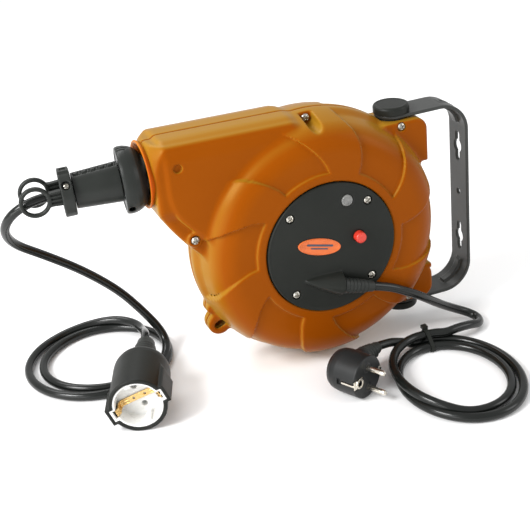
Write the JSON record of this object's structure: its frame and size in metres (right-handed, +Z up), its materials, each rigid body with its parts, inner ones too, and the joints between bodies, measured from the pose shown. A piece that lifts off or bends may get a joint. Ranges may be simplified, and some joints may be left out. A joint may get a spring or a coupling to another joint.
{
  "type": "extension cord reel",
  "caption": "Spring-driven extension cord reel with a swivelling wall bracket, a ball-stopped output cable ending in an earthed coupler, and a mains lead with an angled plug.",
  "frame": {"origin": "middle of the bracket's wall face, on the axis of its centre screw hole", "axes": "+X into the wall, -Y towards the round control cover, +Z up along the swivel axis"},
  "size_m": [0.419, 0.3345, 0.2311],
  "materials": {
    "shell_orange": "fine satin moulded",
    "black_plastic": "satin moulded",
    "black_rubber": "smooth rubber",
    "strap_paint": "satin black powder coat",
    "screw_steel": "bright zinc",
    "spring_steel": "blued",
    "bright_steel": "turned",
    "brass": "bright",
    "carbon": "sintered",
    "red_plastic": "gloss",
    "grey_lens": "smoked",
    "badge_face": "printed and lacquered",
    "white_plastic": "gloss",
    "nylon": "plain",
    "grey_plastic": "plain",
    "nickel": "nickel plate"
  },
  "bodies": {
    "bracket": {"bracket_strap": "strap_paint"},
    "drum": {"drum_spool": "grey_plastic", "drum_bushes": "brass", "wound_cable": "black_rubber", "slip_ring_carrier": "nylon", "slip_rings": "brass", "spring_case": "bright_steel", "spring_cover": "bright_steel", "ratchet_ring": "grey_plastic", "mainspring": "spring_steel"},
    "pawl": {"pawl": "bright_steel"},
    "upper_roller": {"guide_roller_upper": "nylon"},
    "lower_roller": {"guide_roller_lower": "nylon"},
    "button": {"reset_button": "red_plastic"},
    "stop": {"stop_dome": "black_plastic", "stop_barrel_front": "black_plastic", "stop_barrel_rear": "black_plastic", "stop_collar": "black_plastic", "stop_screw": "screw_steel", "eyelet_front": "black_plastic", "eyelet_rear": "black_plastic", "cable_run": "black_rubber", "output_cable": "black_rubber", "output_coil": "black_rubber", "coupler_lead": "black_rubber", "coupler_body": "black_rubber", "coupler_insert": "white_plastic", "coupler_earth_strip": "brass", "coupler_relief": "black_rubber"},
    "housing": {"pivot_bolts": "screw_steel", "pivot_washers": "nylon", "pivot_caps": "black_plastic", "front_shell": "shell_orange", "rear_shell": "shell_orange", "shell_screws": "screw_steel", "outlet_ring": "shell_orange", "front_cover": "black_plastic", "cover_screws": "screw_steel", "indicator_lens": "grey_lens", "badge": "badge_face", "thermal_breaker": "grey_plastic", "pilot_lamp": "white_plastic", "terminal_block": "nylon", "strain_relief": "black_rubber", "axle": "bright_steel", "brush_holder": "grey_plastic", "brushes": "carbon", "roller_frame": "grey_plastic", "roller_pins": "bright_steel", "pawl_pin": "bright_steel", "pawl_spring": "spring_steel", "mains_lead": "black_rubber", "mains_coil": "black_rubber", "plug_lead": "black_rubber", "plug_body": "black_rubber", "plug_pins": "nickel", "plug_earth_clips": "nickel", "plug_relief": "black_rubber", "cable_tie": "black_plastic"}
  },
  "joints": [
    {"name": "swivel", "type": "hinge", "parent": "bracket", "child": "housing", "pos_m": [-0.068, 0, 0], "axis": [0, 0, 1], "range_deg": [-90, 15]},
    {"name": "drum_spin", "type": "hinge", "parent": "housing", "child": "drum", "pos_m": [-0.152, 0, 0], "axis": [0, -1, 0], "range_deg": [0, 90], "stiffness_Nm_per_rad": 0.3, "springref_deg": -60.16},
    {"name": "cable_pull", "type": "slide", "parent": "housing", "child": "stop", "axis": [-1, 0, 0], "range_m": [0, 0.13587]},
    {"name": "upper_roller_spin", "type": "hinge", "parent": "housing", "child": "upper_roller", "pos_m": [-0.278, 0, 0.0969], "axis": [0, 1, 0], "range_deg": [-10, 1310]},
    {"name": "lower_roller_spin", "type": "hinge", "parent": "housing", "child": "lower_roller", "pos_m": [-0.278, 0, 0.0761], "axis": [0, 1, 0], "range_deg": [-1310, 10]},
    {"name": "pawl_swing", "type": "hinge", "parent": "housing", "child": "pawl", "pos_m": [-0.1065, 0.018, -0.07881], "axis": [0, -1, 0], "range_deg": [0, 15], "stiffness_Nm_per_rad": 0.02, "springref_deg": -11.46},
    {"name": "reset_press", "type": "slide", "parent": "housing", "child": "button", "axis": [0, 1, 0], "range_m": [0, 0.0015], "stiffness_N_per_m": 200}
  ],
  "couplings": [
    {"joint": "cable_pull", "follows": "drum_spin", "m_per_rad": 0.0865},
    {"joint": "upper_roller_spin", "follows": "drum_spin", "ratio": 14.417},
    {"joint": "lower_roller_spin", "follows": "drum_spin", "ratio": -14.417}
  ]
}
